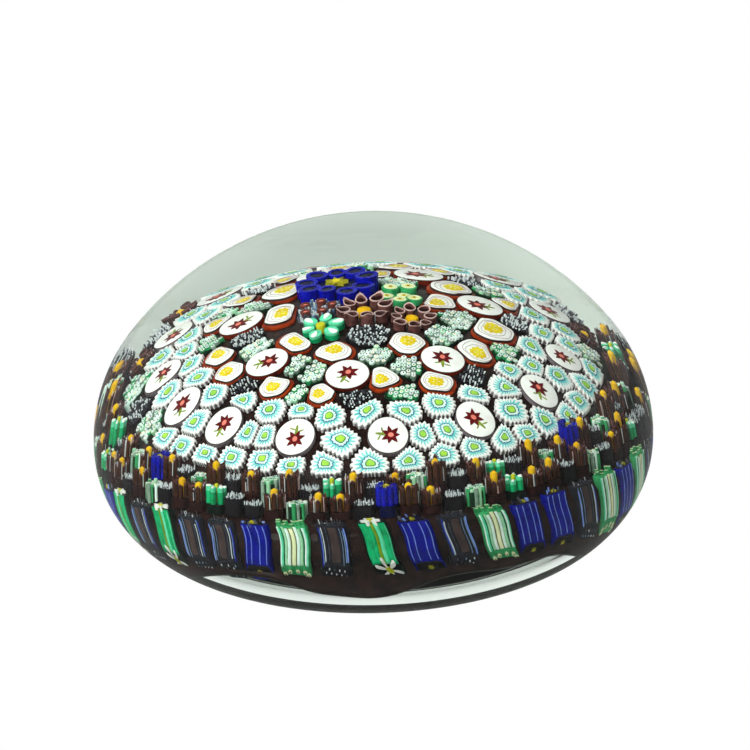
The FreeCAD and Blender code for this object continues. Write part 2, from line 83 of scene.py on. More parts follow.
def rgb(code):
    """Linear colour from an sRGB hex code."""
    values = [int(code[i:i + 2], 16) / 255 for i in (0, 2, 4)]
    return [v / 12.92 if v <= 0.04045 else ((v + 0.055) / 1.055) ** 2.4 for v in values]


# ---------------------------------------------------------------- camera, stage, light

def linked(name, data):
    """A new object in the scene."""
    thing = bpy.data.objects.new(name, data)
    bpy.context.scene.collection.objects.link(thing)
    return thing


def add_camera():
    data = bpy.data.cameras.new("view")
    data.lens = LENS
    data.sensor_width = 36
    data.shift_x, data.shift_y = SHIFT_X, SHIFT_Y
    data.clip_start, data.clip_end = 0.01, 20
    camera = linked("view", data)
    lift = math.radians(VIEW_ELEVATION)
    aim = Vector((0, 0, AIM_HEIGHT * RADIUS))
    place = aim + Vector((0, -math.cos(lift), math.sin(lift))) * VIEW_DISTANCE * RADIUS
    turn = (aim - place).to_track_quat("-Z", "Y").to_matrix().to_4x4()
    camera.matrix_world = (Matrix.Translation(place) @ turn
                           @ Matrix.Rotation(math.radians(VIEW_ROLL), 4, "Z"))
    bpy.context.scene.camera = camera


def put(node, values):
    """Sets the node's own sockets."""
    for name, value in values.items():
        node.inputs[name].default_value = value


def plain_material(name, colour, roughness, specular):
    material = bpy.data.materials.new(name)
    material.use_nodes = True
    put(material.node_tree.nodes["Principled BSDF"],
        {"Base Color": (*colour, 1), "Roughness": roughness, "Specular IOR Level": specular})
    return material


def white_floor():
    """Plain white when looked at directly, an ordinary shaded table for everything else."""
    material = plain_material("floor", FLOOR_COLOUR, 0.6, 0.1)
    tree = material.node_tree
    new, link = tree.nodes.new, tree.links.new
    glow, path, mix = (new("ShaderNodeEmission"), new("ShaderNodeLightPath"),
                       new("ShaderNodeMixShader"))
    link(path.outputs["Is Camera Ray"], mix.inputs[0])
    link(tree.nodes["Principled BSDF"].outputs[0], mix.inputs[1])
    link(glow.outputs[0], mix.inputs[2])
    link(mix.outputs[0], tree.nodes["Material Output"].inputs["Surface"])
    return material


def add_stage():
    mesh = bpy.data.meshes.new("floor")
    side = FLOOR_SIDE
    mesh.from_pydata([(-side, -side, 0), (side, -side, 0), (side, side, 0), (-side, side, 0)],
                     [], [(0, 1, 2, 3)])
    floor = linked("floor", mesh)
    mesh.materials.append(white_floor())
    world = bpy.data.worlds.new("studio")
    world.use_nodes = True
    tree = world.node_tree
    place = tree.nodes.new("ShaderNodeTexCoord")
    height = tree.nodes.new("ShaderNodeSeparateXYZ")
    ramp = tree.nodes.new("ShaderNodeValToRGB")
    ramp.color_ramp.interpolation = "EASE"
    ramp.color_ramp.elements[0].position = ROOM_BRIGHT_TO
    ramp.color_ramp.elements[0].color = (1, 1, 1, 1)
    ramp.color_ramp.elements[1].position = ROOM_DARK_FROM
    ramp.color_ramp.elements[1].color = (*ROOM_TOP, 1)
    tree.links.new(place.outputs["Generated"], height.inputs["Vector"])
    tree.links.new(height.outputs["Z"], ramp.inputs["Fac"])
    tree.links.new(ramp.outputs["Color"], tree.nodes["Background"].inputs["Color"])
    bpy.context.scene.world = world


def add_softbox():
    light = bpy.data.lights.new("key", "AREA")
    light.shape = "RECTANGLE"
    light.size, light.size_y = KEY_SIZE
    light.energy = KEY_POWER
    lamp = linked("key", light)
    lamp.location = KEY_PLACE
    aim = Vector(KEY_AIM) - Vector(KEY_PLACE)
    lamp.visible_glossy = False
    lamp.rotation_euler = aim.to_track_quat("-Z", "Y").to_euler()


# ---------------------------------------------------------------- clear glass

def arc(centre, radius, start, end, steps):
    return [(centre[0] + radius * math.cos(start + (end - start) * i / steps),
             centre[1] + radius * math.sin(start + (end - start) * i / steps))
            for i in range(steps + 1)]


GLASS_TURNS = 192         # points round the clear glass


def glass_outline():
    """The outline from the middle of the base up to the crown."""
    shoulder = (RADIUS - SHOULDER_R, EQUATOR)
    reach = CROWN_R - SHOULDER_R
    drop = math.sqrt(reach ** 2 - shoulder[0] ** 2)
    tangent = math.acos(shoulder[0] / reach)
    heel_end = -math.asin(EQUATOR / HEEL_R)
    heel = arc((RADIUS - HEEL_R, EQUATOR), HEEL_R, heel_end, 0, 24)
    side = arc(shoulder, SHOULDER_R, 0, tangent, 24)
    crown = arc((0, EQUATOR - drop), CROWN_R, tangent, math.pi / 2, 40)
    return [(0.0, 0.0)] + heel + side[1:] + crown[1:]


def turned_body(name, poles, rings):
    """A closed body from rings of points that run from one pole to the other."""
    mesh = bmesh.new()
    first, last = (mesh.verts.new(p) for p in poles)
    rings = [[mesh.verts.new(p) for p in ring] for ring in rings]
    turns = len(rings[0])
    for i in range(turns):
        k = (i + 1) % turns
        mesh.faces.new((first, rings[0][k], rings[0][i]))
        mesh.faces.new((last, rings[-1][i], rings[-1][k]))
        for lower, upper in zip(rings, rings[1:]):
            mesh.faces.new((lower[i], lower[k], upper[k], upper[i]))
    bmesh.ops.recalc_face_normals(mesh, faces=mesh.faces)
    data = bpy.data.meshes.new(name)
    mesh.to_mesh(data)
    mesh.free()
    data.polygons.foreach_set("use_smooth", [True] * len(data.polygons))
    return linked(name, data)


def clear_glass():
    """Clear glass: the true one from inside, and a fainter mirror image on its outer face."""
    material = bpy.data.materials.new("clear_glass")
    material.use_nodes = True
    tree = material.node_tree
    new, link = tree.nodes.new, tree.links.new
    glass = tree.nodes["Principled BSDF"]
    put(glass, {"Base Color": GLASS_TINT, "Roughness": 0.0, "IOR": GLASS_IOR,
                "Transmission Weight": 1.0})
    bent = new("ShaderNodeBsdfRefraction")
    put(bent, {"Color": GLASS_TINT, "Roughness": 0.0, "IOR": GLASS_IOR})
    mirror = new("ShaderNodeBsdfGlossy")
    put(mirror, {"Roughness": 0.0})
    fresnel = new("ShaderNodeFresnel")
    put(fresnel, {"IOR": GLASS_IOR})
    fainter = new("ShaderNodeMath")
    fainter.operation = "MULTIPLY"
    fainter.inputs[1].default_value = FRONT_MIRROR
    outside, either, shown = (new("ShaderNodeMixShader") for _ in range(3))
    side = new("ShaderNodeNewGeometry")
    pane = new("ShaderNodeBsdfTransparent")
    put(pane, {"Color": SHADOW_TINT})
    path = new("ShaderNodeLightPath")
    link(fresnel.outputs[0], fainter.inputs[0])
    link(fainter.outputs[0], outside.inputs[0])
    link(bent.outputs[0], outside.inputs[1])
    link(mirror.outputs[0], outside.inputs[2])
    link(side.outputs["Backfacing"], either.inputs[0])
    link(outside.outputs[0], either.inputs[1])
    link(glass.outputs[0], either.inputs[2])
    link(path.outputs["Is Shadow Ray"], shown.inputs[0])
    link(either.outputs[0], shown.inputs[1])
    link(pane.outputs[0], shown.inputs[2])
    link(shown.outputs[0], tree.nodes["Material Output"].inputs["Surface"])
    return material


def add_clear_glass():
    outline = glass_outline()
    angles = [2 * math.pi * i / GLASS_TURNS for i in range(GLASS_TURNS)]
    piece = turned_body("clear_gather", [(0, 0, outline[0][1]), (0, 0, outline[-1][1])],
                        [[(r * math.cos(a), r * math.sin(a), z) for a in angles]
                         for r, z in outline[1:-1]])
    piece.data.materials.append(clear_glass())
    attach(piece, "root")
    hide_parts("clear_dome", "clear_core")


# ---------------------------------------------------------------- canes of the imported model

ROUNDNESS = 0.55      # how far the outline of a pressed cane comes back to a round one


class Cane:
    """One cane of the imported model, in millimetres: its ends and the outline between."""

    SPOKES = 72

    def __init__(self, upper, lower, seed):
        self.top, self.foot = middle_of(upper), middle_of(lower)
        self.length = (self.top - self.foot).length
        normal = flat_normal(upper)
        self.ex = (NEST_ACROSS - normal * normal.dot(NEST_ACROSS)).normalized()
        self.ey = normal.cross(self.ex)
        place = NEST.inverted() @ self.top
        self.bearing = math.atan2(place.y, place.x)
        self.out = (math.cos(self.bearing), math.sin(self.bearing))
        self.side = (-self.out[1], self.out[0])
        corners = sorted((((p - self.top).dot(self.ex), (p - self.top).dot(self.ey))
                          for p in upper), key=lambda c: math.atan2(c[1], c[0]))
        spread = sum((p - self.top).length for p in upper) / len(upper)
        self.taper = sum((p - self.foot).length for p in lower) / len(lower) / spread
        raw = [spoke(corners, 2 * math.pi * i / self.SPOKES) for i in range(self.SPOKES)]
        soft = [sum(raw[(i + k) % self.SPOKES] for k in range(-SOFTNESS, SOFTNESS + 1))
                / (2 * SOFTNESS + 1) for i in range(self.SPOKES)]
        mean = sum(raw) / self.SPOKES
        self.spokes = [min(a, ROUNDNESS * mean + (1 - ROUNDNESS) * b) for a, b in zip(raw, soft)]
        self.size = sum(self.spokes) / self.SPOKES
        self.draw = random.Random(seed)
        self.bend = 0.0
        self.wave = 0.0
        self.slant = 0.0

    def reach(self, angle):
        """Distance from the middle to the outline at an angle."""
        place = angle / (2 * math.pi) * self.SPOKES
        low = math.floor(place)
        share = place - low
        return (self.spokes[low % self.SPOKES] * (1 - share)
                + self.spokes[(low + 1) % self.SPOKES] * share)

    def at(self, x, y, depth):
        """The place of a point of the cane's end, depth mm along the cane."""
        s = depth / self.length
        grown = 1 - (1 - self.taper) * s
        sway = self.bend * s * s + self.wave * math.sin(2 * math.pi * s)
        return (self.top + (self.foot - self.top) * s
                + self.ex * (x * grown + self.side[0] * sway)
                + self.ey * (y * grown + self.side[1] * sway))

    def place(self, angle, share):
        """The point at a share of the way to the outline."""
        far = self.reach(angle) * share
        return far * math.cos(angle), far * math.sin(angle)

    def local(self, across, outward):
        """Turns a place across and outward of the cane's middle into (x, y)."""
        return (self.side[0] * across + self.out[0] * outward,
                self.side[1] * across + self.out[1] * outward)

    def end(self, extra=0.0):
        """The depth of the slanted lower end as a function of (x, y)."""
        return lambda x, y: (self.length + extra
                             - self.slant * (x * self.out[0] + y * self.out[1]))


def middle_of(points):
    return sum(points, Vector()) / len(points)


def flat_normal(points):
    """Upward unit normal of a nearly flat ring of points."""
    centre = middle_of(points)
    total = Vector()
    ordered = sorted(points, key=lambda p: math.atan2((p - centre).y, (p - centre).x))
    for a, b in zip(ordered, ordered[1:] + ordered[:1]):
        total += (a - centre).cross(b - centre)
    return total.normalized()


PARALLEL, SLACK = 1e-12, 1e-9      # limits of the crossing of a spoke and an edge


def spoke(corners, angle):
    """Distance from the middle to the outline of corners at an angle."""
    dx, dy = math.cos(angle), math.sin(angle)
    for (ax, ay), (bx, by) in zip(corners, corners[1:] + corners[:1]):
        ex, ey = bx - ax, by - ay
        cross = dx * ey - dy * ex
        if abs(cross) < PARALLEL:
            continue
        t = (ax * ey - ay * ex) / cross
        s = (ax * dy - ay * dx) / cross
        if t > 0 and -SLACK <= s <= 1 + SLACK:
            return t
    return min(math.hypot(*c) for c in corners)


END_SHARE = 0.15      # points in this share of a cane's length belong to its end
WELD = 1e-6           # metres


def canes_of(node, upright):
    """The canes of one CAD node, in a fixed order."""
    mesh = bmesh.new()
    mesh.from_mesh(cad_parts[node].data)
    bmesh.ops.remove_doubles(mesh, verts=mesh.verts, dist=WELD)
    seen, canes = set(), []
    for vert in mesh.verts:
        if vert.index in seen:
            continue
        island, stack = [], [vert]
        seen.add(vert.index)
        while stack:
            here = stack.pop()
            island.append(here.co / MM)
            for edge in here.link_edges:
                other = edge.other_vert(here)
                if other.index not in seen:
                    seen.add(other.index)
                    stack.append(other)
        heights = [p.dot(NEST_UP) if upright else (p - APEX).length for p in island]
        low, high = min(heights), max(heights)
        upper = [p for p, h in zip(island, heights) if h > high - END_SHARE * (high - low)]
        lower = [p for p, h in zip(island, heights) if h < low + END_SHARE * (high - low)]
        canes.append(Cane(upper, lower, len(canes) + 1))
    mesh.free()
    return sorted(canes, key=lambda c: c.bearing)


# ---------------------------------------------------------------- glass bodies

SHARP = math.radians(35)      # edges steeper than this are shown sharp


class Glasswork:
    """Collects the closed bodies of one piece, each in one colour of glass."""

    def __init__(self):
        self.points, self.faces, self.colours = [], [], []

    def close(self, rings, colour, hollow):
        """Joins rings of points. A solid body gets a fan at each end."""
        start, count = len(self.points), len(rings[0])
        for ring in rings:
            self.points.extend(ring)
        last = len(rings) if hollow else len(rings) - 1
        for j in range(last):
            a, b = start + j * count, start + (j + 1) % len(rings) * count
            for i in range(count):
                k = (i + 1) % count
                self.faces.append((a + i, a + k, b + k, b + i))
                self.colours.append(colour)
        return start, count

    def rod(self, cane, loop, top, bottom, colour, soft=0.0, steps=1, foot_soft=0.0):
        """A rod along a cane whose section is loop, its ends softened by shrinking it."""
        mx = sum(p[0] for p in loop) / len(loop)
        my = sum(p[1] for p in loop) / len(loop)
        mean = sum(math.hypot(p[0] - mx, p[1] - my) for p in loop) / len(loop)
        upper = top if callable(top) else (lambda x, y: top)
        lower = bottom if callable(bottom) else (lambda x, y: bottom)
        levels = [(0, 0.0, 1)]
        if soft:
            levels = [(0, 0.0, 1 - soft / mean), (0, 0.3 * soft, 1 - 0.3 * soft / mean),
                      (0, soft, 1)]
        levels += [(i / steps, 0.0, 1) for i in range(1, steps)]
        if foot_soft:
            levels += [(1, -foot_soft, 1), (1, 0.0, 1 - foot_soft / mean)]
        else:
            levels += [(1, 0.0, 1)]
        rings = []
        for share, shift, scale in levels:
            ring = []
            for x, y in loop:
                px, py = mx + (x - mx) * scale, my + (y - my) * scale
                depth = upper(x, y) * (1 - share) + lower(x, y) * share + shift
                ring.append(cane.at(px, py, depth))
            rings.append(ring)
        start, count = self.close(rings, colour, False)
        for ring, middle in ((0, cane.at(mx, my, upper(mx, my))),
                             (len(rings) - 1, cane.at(mx, my, lower(mx, my)))):
            tip = len(self.points)
            self.points.append(middle)
            first = start + ring * count
            for i in range(count):
                k = (i + 1) % count
                face = (tip, first + k, first + i) if ring == 0 else (tip, first + i, first + k)
                self.faces.append(face)
                self.colours.append(colour)

    def tube(self, cane, outer, inner, top, bottom, colour):
        """A pipe along a cane between two loops with the same number of points."""
        upper = top if callable(top) else (lambda x, y: top)
        lower = bottom if callable(bottom) else (lambda x, y: bottom)
        rings = [[cane.at(x, y, level(x, y)) for x, y in loop]
                 for loop, level in ((outer, lower), (outer, upper), (inner, upper),
                                     (inner, lower))]
        self.close(rings, colour, True)

    def piece(self, name, slot, nodes):
        data = bpy.data.meshes.new(name)
        data.from_pydata([p * MM for p in self.points], [], self.faces)
        names = sorted(set(self.colours))
        for colour in names:
            data.materials.append(glass_colour(colour))
        data.polygons.foreach_set("material_index", [names.index(c) for c in self.colours])
        mesh = bmesh.new()
        mesh.from_mesh(data)
        bmesh.ops.recalc_face_normals(mesh, faces=mesh.faces)
        mesh.to_mesh(data)
        mesh.free()
        data.polygons.foreach_set("use_smooth", [True] * len(data.polygons))
        data.set_sharp_from_angle(angle=SHARP)
        piece = linked(name, data)
        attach(piece, "root")
        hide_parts(*nodes)


def rim(cane, share, count=40, teeth=0, bite=0.0, off=(0.0, 0.0), phase=0.0):
    """A share of the cane's outline, with teeth cut into it by a share called bite."""
    points = []
    for i in range(count):
        angle = 2 * math.pi * i / count
        r = cane.reach(angle) * share
        if teeth:
            r *= 1 - bite * (0.5 - 0.5 * math.cos(teeth * angle + phase))
        points.append((off[0] + r * math.cos(angle), off[1] + r * math.sin(angle)))
    return points


def placed(x, y, turn, outline):
    """An outline turned by an angle and moved to (x, y)."""
    return [(x + u * math.cos(turn) - v * math.sin(turn),
             y + u * math.sin(turn) + v * math.cos(turn)) for u, v in outline]


def oval(x, y, wide, high, turn=0.0, count=10):
    angles = [2 * math.pi * i / count for i in range(count)]
    return placed(x, y, turn, [(wide * math.cos(a), high * math.sin(a)) for a in angles])


def star(x, y, outer, inner, tips, turn=0.0):
    points = []
    for i in range(2 * tips):
        r = inner if i % 2 else outer
        angle = turn + math.pi * i / tips
        points.append((x + r * math.cos(angle), y + r * math.sin(angle)))
    return points


def leaf(x, y, length, width, turn, count=12):
    """A drop that starts at (x, y) and is widest two thirds out."""
    points = []
    for i in range(count):
        angle = 2 * math.pi * i / count
        u = 0.5 - 0.5 * math.cos(angle)
        v = math.sin(angle) * (0.35 + 0.65 * u)
        points.append((u * length, v * width / 2))
    return placed(x, y, turn, points)


ROW_STEP = 0.866      # distance of two rows of round tubes, in diameters


def packed(cane, radius, share=1.0, spread=1.0):
    """Places for round tubes of a radius side by side inside the cane's outline."""
    places = []
    step = 2 * radius * spread
    rows = int(cane.size * 2.4 / step) + 2
    tilt = cane.draw.uniform(0, math.pi / 3)
    for j in range(-rows, rows + 1):
        for i in range(-rows, rows + 1):
            u, v = (i + 0.5 * (j % 2)) * step, j * step * ROW_STEP
            x = u * math.cos(tilt) - v * math.sin(tilt)
            y = u * math.sin(tilt) + v * math.cos(tilt)
            if math.hypot(x, y) + radius * 0.85 <= cane.reach(math.atan2(y, x)) * share:
                places.append((x, y))
    return places


# ---------------------------------------------------------------- what each cane shows

PROUD = 0.03          # one inlay stands this far above the glass round it, in mm
DEEP = 0.5            # depth of an inlay
RED_CASED = 2.4       # picture canes of this mean radius and more have red casing


def flower_cane(work, cane, stem_turn):
    """White disc with a dark red star flower on a green stem."""
    size = cane.size
    casing = "grey_casing" if size < RED_CASED else "red_casing"
    work.rod(cane, rim(cane, 0.99, 48), 0.12, cane.length, casing)
    work.rod(cane, rim(cane, 0.975, 48), 0.04, 0.9, "dark_line", soft=0.05)
    work.rod(cane, rim(cane, 0.95, 48), 0.0, 1.0, "white", soft=0.04)
    turn = math.radians(stem_turn)
    lean = cane.draw.uniform(-0.2, 0.2)
    cx, cy = -0.13 * size * math.cos(turn), -0.13 * size * math.sin(turn)
    sx, sy = math.cos(turn + lean), math.sin(turn + lean)
    mid = 0.38 * size
    work.rod(cane, oval(cx + sx * mid, cy + sy * mid, 0.38 * size, 0.075 * size, turn + lean),
             -PROUD, DEEP, "stem")
    for side in (-1, 1):
        start = (0.42 + 0.05 * side) * size
        work.rod(cane, leaf(cx + sx * start, cy + sy * start, 0.38 * size, 0.11 * size,
                            turn + lean + side * 1.25), -0.6 * PROUD, DEEP, "stem")
    tips = 7
    for k in range(tips):
        a = turn + 2 * math.pi * (k + 0.5 + cane.draw.uniform(-0.1, 0.1)) / tips
        long = size * cane.draw.uniform(0.42, 0.54)
        work.rod(cane, petal(cx, cy, long, 0.24 * size, a), -1.5 * PROUD, DEEP, "dark_red")
    work.rod(cane, oval(cx, cy, 0.14 * size, 0.12 * size, turn), -2.4 * PROUD, DEEP, "salmon")


def petal(x, y, length, width, turn):
    """A pointed petal, widest near its middle."""
    half = width / 2
    return placed(x, y, turn, (
        (0, -0.3 * half), (0.45 * length, -half), (0.75 * length, -0.55 * half), (length, 0),
        (0.75 * length, 0.55 * half), (0.45 * length, half), (0, 0.3 * half)))


FIFTH = 1.26          # a fifth of a turn


def egg_cane(work, cane):
    """Squeezed white glass with fine lines round a yellow cog, in red-brown casing."""
    draw, size = cane.draw, cane.size
    shift = draw.uniform(0, 2 * math.pi)
    ox, oy = 0.1 * size * math.cos(shift), 0.1 * size * math.sin(shift)
    dent, phase = draw.uniform(0.1, 0.22), draw.uniform(0, 6)
    work.rod(cane, rim(cane, 1.0, 40), 0.3, cane.length, "egg_casing", soft=0.08)
    work.rod(cane, rim(cane, 0.96, 48, 1, dent, (0, 0), phase), 0.06, 0.8, "dark_line",
             soft=0.04)
    work.rod(cane, rim(cane, 0.925, 48, 1, dent, (0, 0), phase), 0.0, 0.8, "white", soft=0.06)
    for share, thick, drift in ((0.76, 0.024, 0.3), (0.60, 0.02, 0.9)):
        off = (ox * drift, oy * drift)
        wave = draw.uniform(0, 6)
        work.tube(cane, rim(cane, share, 32, 2, 0.12, off, wave),
                  rim(cane, share - thick, 32, 2, 0.12, off, wave), -PROUD, DEEP, "egg_line")
    off = (ox * 1.4, oy * 1.4)
    work.rod(cane, rim(cane, 0.45, 48, 11, 0.2, off), -1.4 * PROUD, DEEP, "yellow")
    turn = draw.uniform(0, 3)
    for k in range(5):
        a = turn + k * FIFTH
        work.rod(cane, oval(off[0] + 0.17 * size * math.cos(a), off[1] + 0.17 * size * math.sin(a),
                            0.07 * size, 0.02 * size, a, 8), -2.2 * PROUD, DEEP, "cream")


def daisy_cane(work, cane):
    """White petals, a turquoise ring with teeth, a blue line and a green middle."""
    draw = cane.draw
    teeth = draw.choice((18, 20, 22))
    off = (cane.size * draw.uniform(-0.08, 0.08), cane.size * draw.uniform(-0.08, 0.08))
    work.rod(cane, rim(cane, 0.95, 36), 0.2, cane.length, "grey_casing")
    work.rod(cane, rim(cane, 1.0, 6 * teeth, teeth, 0.17), 0.0, 1.2, "white", soft=0.05)
    half = (off[0] * 0.5, off[1] * 0.5)
    work.rod(cane, rim(cane, 0.8, 6 * teeth, teeth, 0.36, half), -PROUD, DEEP, "turquoise")
    work.rod(cane, rim(cane, 0.5, 56, 14, 0.12, off), -1.7 * PROUD, DEEP, "blue_line")
    work.rod(cane, rim(cane, 0.44, 56, 14, 0.16, off), -2.4 * PROUD, DEEP, "mint_white")
    work.rod(cane, rim(cane, 0.27, 24, 0, 0, off), -3.0 * PROUD, DEEP, "deep_green")
    work.rod(cane, rim(cane, 0.22, 20, 0, 0, off), -3.6 * PROUD, DEEP, "lime")


def small_tube(work, cane, x, y, radius, top, bottom, shades):
    """A fine tube: casing, pale ring with teeth, and a dark or yellow middle."""
    casing, ring, dot = shades
    work.rod(cane, oval(x, y, radius, radius, 0, 10), top, bottom, casing, soft=0.06)
    work.rod(cane, star(x, y, 0.78 * radius, 0.6 * radius, 6, x), top - PROUD, top + DEEP, ring)
    work.rod(cane, oval(x, y, 0.26 * radius, 0.26 * radius, 0, 8), top - 2 * PROUD, top + DEEP,
             dot)


def tube_bundle(work, cane, green, radius=0.33, filler="dark_green", heart=0.97, depth=2.0):
    """Fine pale tubes side by side, some of them green."""
    draw = cane.draw
    work.rod(cane, rim(cane, heart, 30), 0.25, cane.length, filler)
    for x, y in packed(cane, radius, 1.04, 0.97):
        dot = draw.choice(("dark_green", "dark_green", "dark_green", "yellow"))
        casing = draw.choice(("leaf_green", "pale_green") if draw.random() < green
                             else ("grey_green", "mint_white"))
        ring = draw.choice(("mint_white", "thread", "white"))
        small_tube(work, cane, x, y, radius, draw.uniform(-0.12, 0.12), depth, (casing, ring, dot))


def stringer_cane(work, cane, radius=0.1, count=0.75, spread=0.36):
    """Dark glass with many fine white threads."""
    draw = cane.draw
    work.rod(cane, rim(cane, 0.98, 30), 0.2, cane.length, "dark_glass", soft=0.1)
    for x, y in packed(cane, spread / 2, 1.0):
        if draw.random() > count:
            continue
        r = radius * draw.uniform(0.6, 1.1)
        shade = "thread" if draw.random() < 0.75 else "slate"
        work.rod(cane, oval(x + draw.uniform(-0.05, 0.05), y + draw.uniform(-0.05, 0.05), r, r,
                            0, 6), draw.uniform(-0.15, 0.15), 1.6, shade)


def tube_crown(work, cane, count, ring, radius, heights, shades, phase, point, wall,
               edge=None, sunk=0.35):
    """Upright tubes side by side round the middle; their outer lips may rise to a point, and may
    carry a lighter ring that is a painted highlight.
    """
    body, lip = shades
    low, high = heights
    for k in range(count):
        a = phase + 2 * math.pi * k / count
        far = cane.reach(a) * ring
        x, y = far * math.cos(a), far * math.sin(a)
        r = radius * far / ring
        lift = cane.draw.uniform(low, high)
        outer = oval(x, y, r, r * 0.9, a, 12)
        inner = oval(x, y, r * (1 - wall), r * (0.9 - wall), a, 12)

        def top(px, py, cx=x, cy=y, ca=a, up=lift, rad=r):
            outward = ((px - cx) * math.cos(ca) + (py - cy) * math.sin(ca)) / rad
            return -up - point * max(0.0, outward) ** 3

        work.tube(cane, outer, inner, top, cane.length * 0.4, body)
        # the edge ring is a painted highlight: a lighter ring standing on each tube's lip
        if edge:
            work.tube(cane, oval(x, y, r * 1.01, r * 0.91, a, 12), inner,
                      lambda px, py, t=top: t(px, py) - 0.02,
                      lambda px, py, t=top: t(px, py) + 0.09, edge)
        work.rod(cane, inner, lambda px, py, t=top: t(px, py) + sunk, cane.length * 0.4, lip)


def amethyst_cane(work, cane, proud, tubes=8, threads=6, rod=0.28, body="amethyst",
                  point=0.6, rod_lift=0.0):
    """Brown-purple pointed tubes round a thick orange-yellow rod, with fine white threads; a
    lighter ring on each tube's lip is a painted highlight.
    """
    draw, size = cane.draw, cane.size
    work.rod(cane, rim(cane, 0.95, 30), 0.7, cane.length, "dark_amethyst")
    # the edge ring, pink on amethyst tubes and amethyst on brown ones, is a painted highlight on
    # the tube lips
    tube_crown(work, cane, tubes, 0.72, 0.26, (0.3 * proud, 0.9 * proud),
               (body, "dark_amethyst"), draw.uniform(0, 1), point * proud, 0.14,
               edge="pink_rim" if body == "amethyst" else "amethyst")
    r = rod * size
    tall = draw.uniform(0.4, 0.9) * proud + rod_lift
    work.rod(cane, oval(0, 0, r, r, 0, 14),
             lambda x, y: -tall - 0.25 * r * (1 - (x * x + y * y) / (r * r)),
             cane.length * 0.5, "orange", soft=0.5 * r)
    for k in range(threads):
        a = draw.uniform(0, 2 * math.pi)
        x, y = cane.place(a, draw.uniform(0.45, 1.0))
        work.rod(cane, oval(x, y, 0.05, 0.05, 0, 5), -draw.uniform(0.1, 1.0) * proud, 0.6,
                 draw.choice(("thread", "thread", "pink_rim", "slate")))


def emerald_cane(work, cane, proud, rods=6):
    """Fat green rods with white drop-shaped tips round a yellow rod; the lighter top layer and the
    white drop on each rod are painted highlights.
    """
    draw, size = cane.draw, cane.size
    work.rod(cane, rim(cane, 0.95, 30), 0.8, cane.length, "black_green")
    phase = draw.uniform(0, 1)
    for k in range(rods):
        a = phase + 2 * math.pi * k / rods
        far = cane.reach(a) * 0.64
        x, y = far * math.cos(a), far * math.sin(a)
        lift = draw.uniform(0.4, 0.8) * proud
        loop = oval(x, y, 0.33 * far / 0.64, 0.27 * far / 0.64, a, 12)
        work.rod(cane, loop, 0.45 - lift, cane.length * 0.5, "emerald")
        # the lighter layer on top of each green rod is a painted highlight
        work.rod(cane, [(x + (px - x) * 0.97, y + (py - y) * 0.97) for px, py in loop],
                 0.12 - lift, 0.5 - lift, "light_emerald")
        # the white drop on each rod is a painted highlight
        tip = leaf(x - 0.26 * far * math.cos(a), y - 0.26 * far * math.sin(a),
                   0.75 * far, 0.52 * far, a)
        work.rod(cane, tip, -lift, 0.55 - lift, "white", soft=0.05)
    r = 0.2 * size
    work.rod(cane, oval(0, 0, r, r, 0, 12), -0.75 * proud, cane.length * 0.5, "yellow_green",
             soft=0.06)


def cobalt_cane(work, cane, proud, tubes=9):
    """Deep blue lobes round a dark middle with a yellow-green star."""
    draw, size = cane.draw, cane.size
    work.rod(cane, rim(cane, 0.8, 30), 0.5 - proud, cane.length, "dark_cobalt")
    tube_crown(work, cane, tubes, 0.74, 0.29, (0.7 * proud, 1.1 * proud),
               ("cobalt", "dark_cobalt"), draw.uniform(0, 1), 0.0, 0.34, sunk=0.08)
    work.rod(cane, star(0, 0, 0.3 * size, 0.13 * size, 7, draw.uniform(0, 1)),
             -0.05 - 0.9 * proud, cane.length * 0.5, "olive", soft=0.03)
    work.rod(cane, oval(0, 0, 0.1 * size, 0.1 * size), -0.1 - 0.9 * proud, 1, "yellow")


def green_tube_cane(work, cane):
    """Six fat green tubes with cream ends, one of them in the middle."""
    work.rod(cane, rim(cane, 0.95, 30), 0.6, cane.length, "deep_green")
    count = 6
    for k in range(count):
        x, y = cane.place(2 * math.pi * k / count + 0.3, 0.62 if k else 0.0)
        r = 0.33 * cane.size
        lift = cane.draw.uniform(-0.2, 0.5)
        work.rod(cane, oval(x, y, r, r, 0, 16), -lift, cane.length * 0.5, "leaf_green", soft=0.1)
        work.rod(cane, rim_star(x, y, 0.82 * r, 16, 0.12), -lift - PROUD, 1, "cream")
        work.rod(cane, star(x, y, 0.4 * r, 0.2 * r, 6), -lift - 2 * PROUD, 1, "yellow")
        work.rod(cane, oval(x, y, 0.13 * r, 0.13 * r, 0, 8), -lift - 3 * PROUD, 1, "dark_red")


def rim_star(x, y, radius, teeth, bite):
    points = []
    for i in range(4 * teeth):
        angle = math.pi * i / (2 * teeth)
        r = radius * (1 - bite * (0.5 - 0.5 * math.cos(teeth * angle)))
        points.append((x + r * math.cos(angle), y + r * math.sin(angle)))
    return points


def small_tube_cane(work, cane):
    """Grey threads round five small tubes with red-brown rings."""
    draw = cane.draw
    work.rod(cane, rim(cane, 0.97, 30), 0.5, cane.length, "slate")
    for x, y in packed(cane, 0.13, 0.97, 1.15):
        work.rod(cane, oval(x, y, 0.1, 0.1, 0, 6), -draw.uniform(-0.3, 0.5), 2,
                 draw.choice(("slate", "blue_grey", "thread")))
    for k in range(5):
        x, y = cane.place(2 * math.pi * k / 5, 0.6)
        r = 0.22 * cane.size
        work.tube(cane, oval(x, y, r, r, 0, 12), oval(x, y, 0.55 * r, 0.55 * r, 0, 12),
                  -0.6, 2, "brown_red")
        work.rod(cane, oval(x, y, 0.5 * r, 0.5 * r, 0, 8), -0.5, 2, "salmon")


# ---------------------------------------------------------------- upright canes at the foot

BENDS = 6             # levels along a foot cane, so that its stripes can bend


